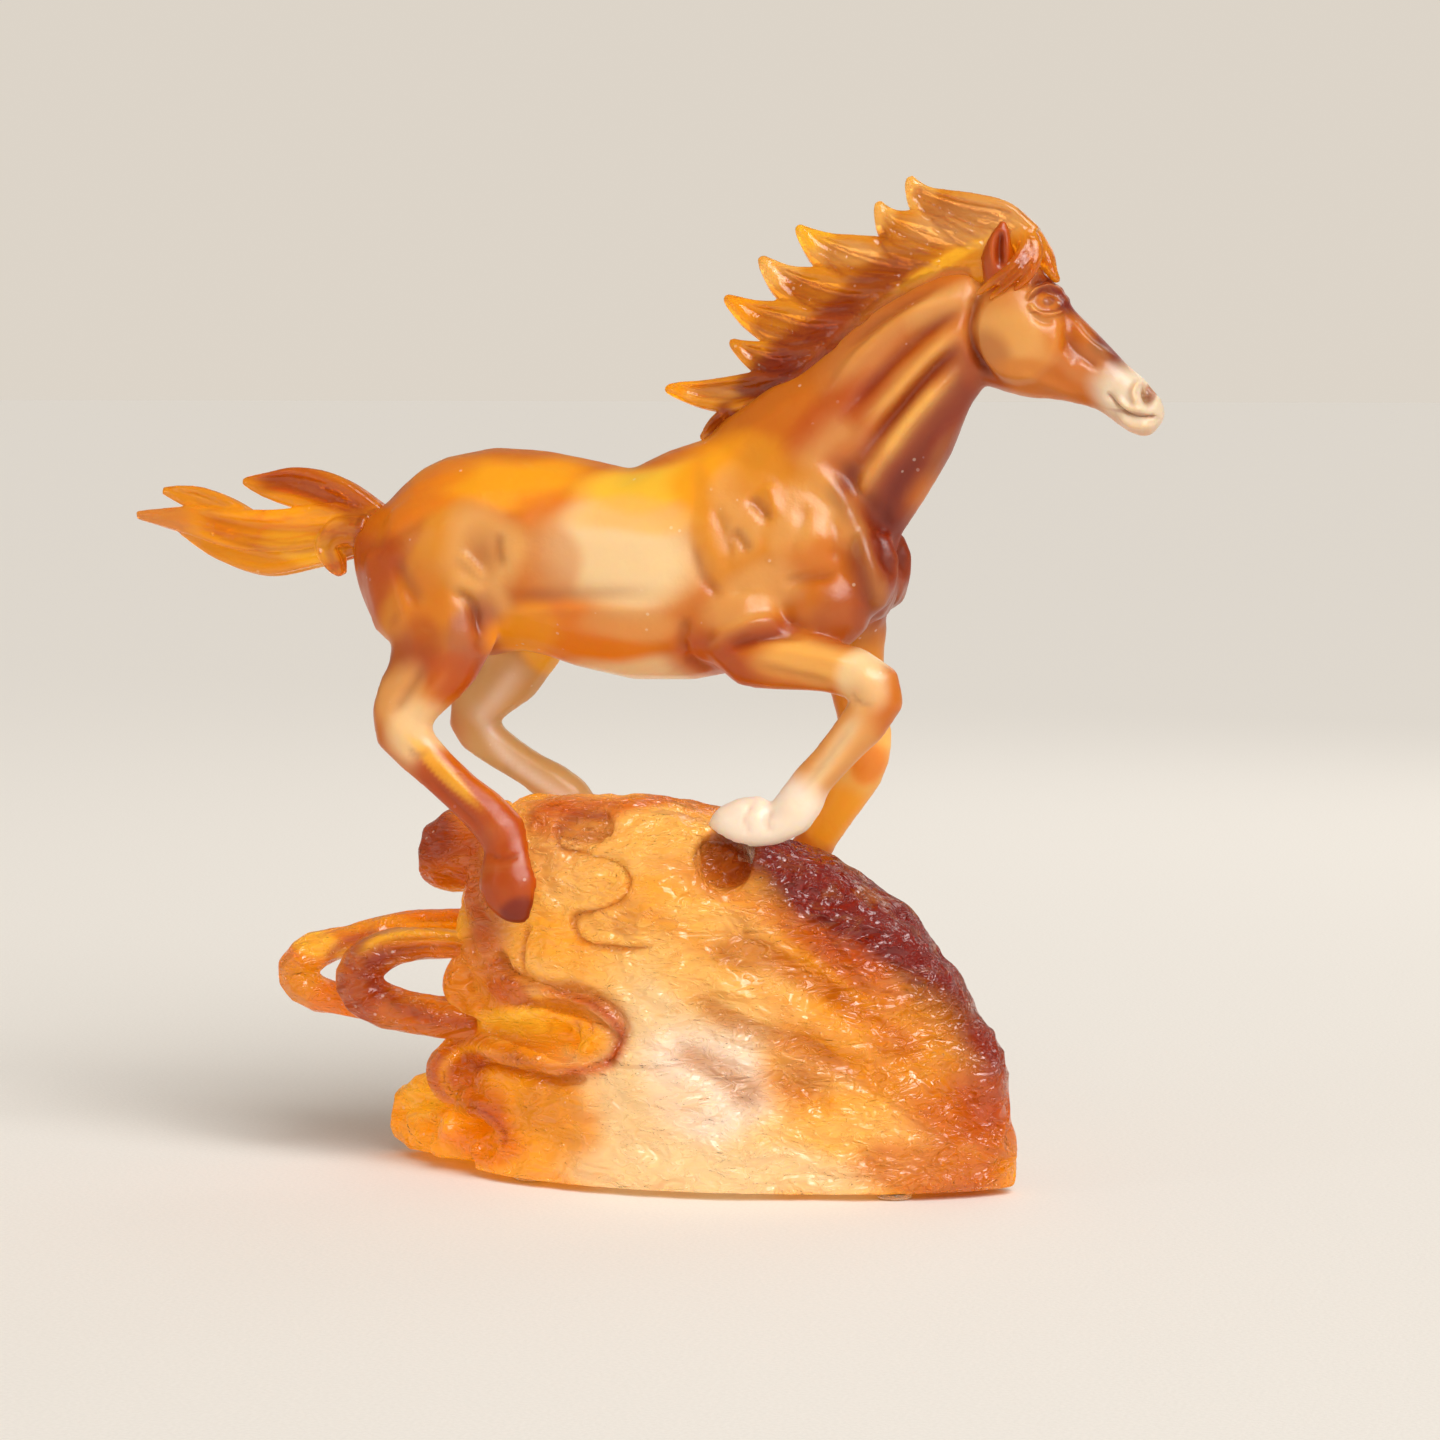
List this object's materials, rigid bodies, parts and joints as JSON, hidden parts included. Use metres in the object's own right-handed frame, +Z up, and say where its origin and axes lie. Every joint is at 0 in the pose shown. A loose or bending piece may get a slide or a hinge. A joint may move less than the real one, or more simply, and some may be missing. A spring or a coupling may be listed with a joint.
{
  "type": "glass horse figurine",
  "caption": "Galloping horse in frosted amber cast glass with a polished mane and tail, bonded by its hooves to a scrolled wave of textured rock glass.",
  "frame": {"origin": "centre of the bounding box, on the surface that the bumpers stand on", "axes": "+X from the tail towards the horse's nose, +Z up, the horse's near side faces -Y"},
  "size_m": [0.3066, 0.0672, 0.2888],
  "materials": {
    "amber_rock_glass": "hammered and rippled, satin gloss, amber with dark red and clear clouds",
    "frosted_amber_glass": "acid frosted, amber to brown with cream and clear clouds",
    "polished_amber_glass": "fire polished, golden amber with brown strands",
    "clear_adhesive": "clear cured optical adhesive",
    "clear_bumper": "clear soft polyurethane, smooth"
  },
  "bodies": {
    "root": {"rock_mount": "amber_rock_glass", "horse_body": "frosted_amber_glass", "mane": "polished_amber_glass", "tail": "polished_amber_glass", "wave_loop_front": "amber_rock_glass", "wave_loop_rear": "amber_rock_glass", "mane_bond": "clear_adhesive", "tail_bond": "clear_adhesive", "hoof_bond_near_fore": "clear_adhesive", "hoof_bond_far_fore": "clear_adhesive", "hoof_bond_near_hind": "clear_adhesive", "hoof_bond_far_hind": "clear_adhesive", "bumper_front_right": "clear_bumper", "bumper_rear_right": "clear_bumper", "bumper_front_left": "clear_bumper", "bumper_rear_left": "clear_bumper"}
  },
  "joints": []
}
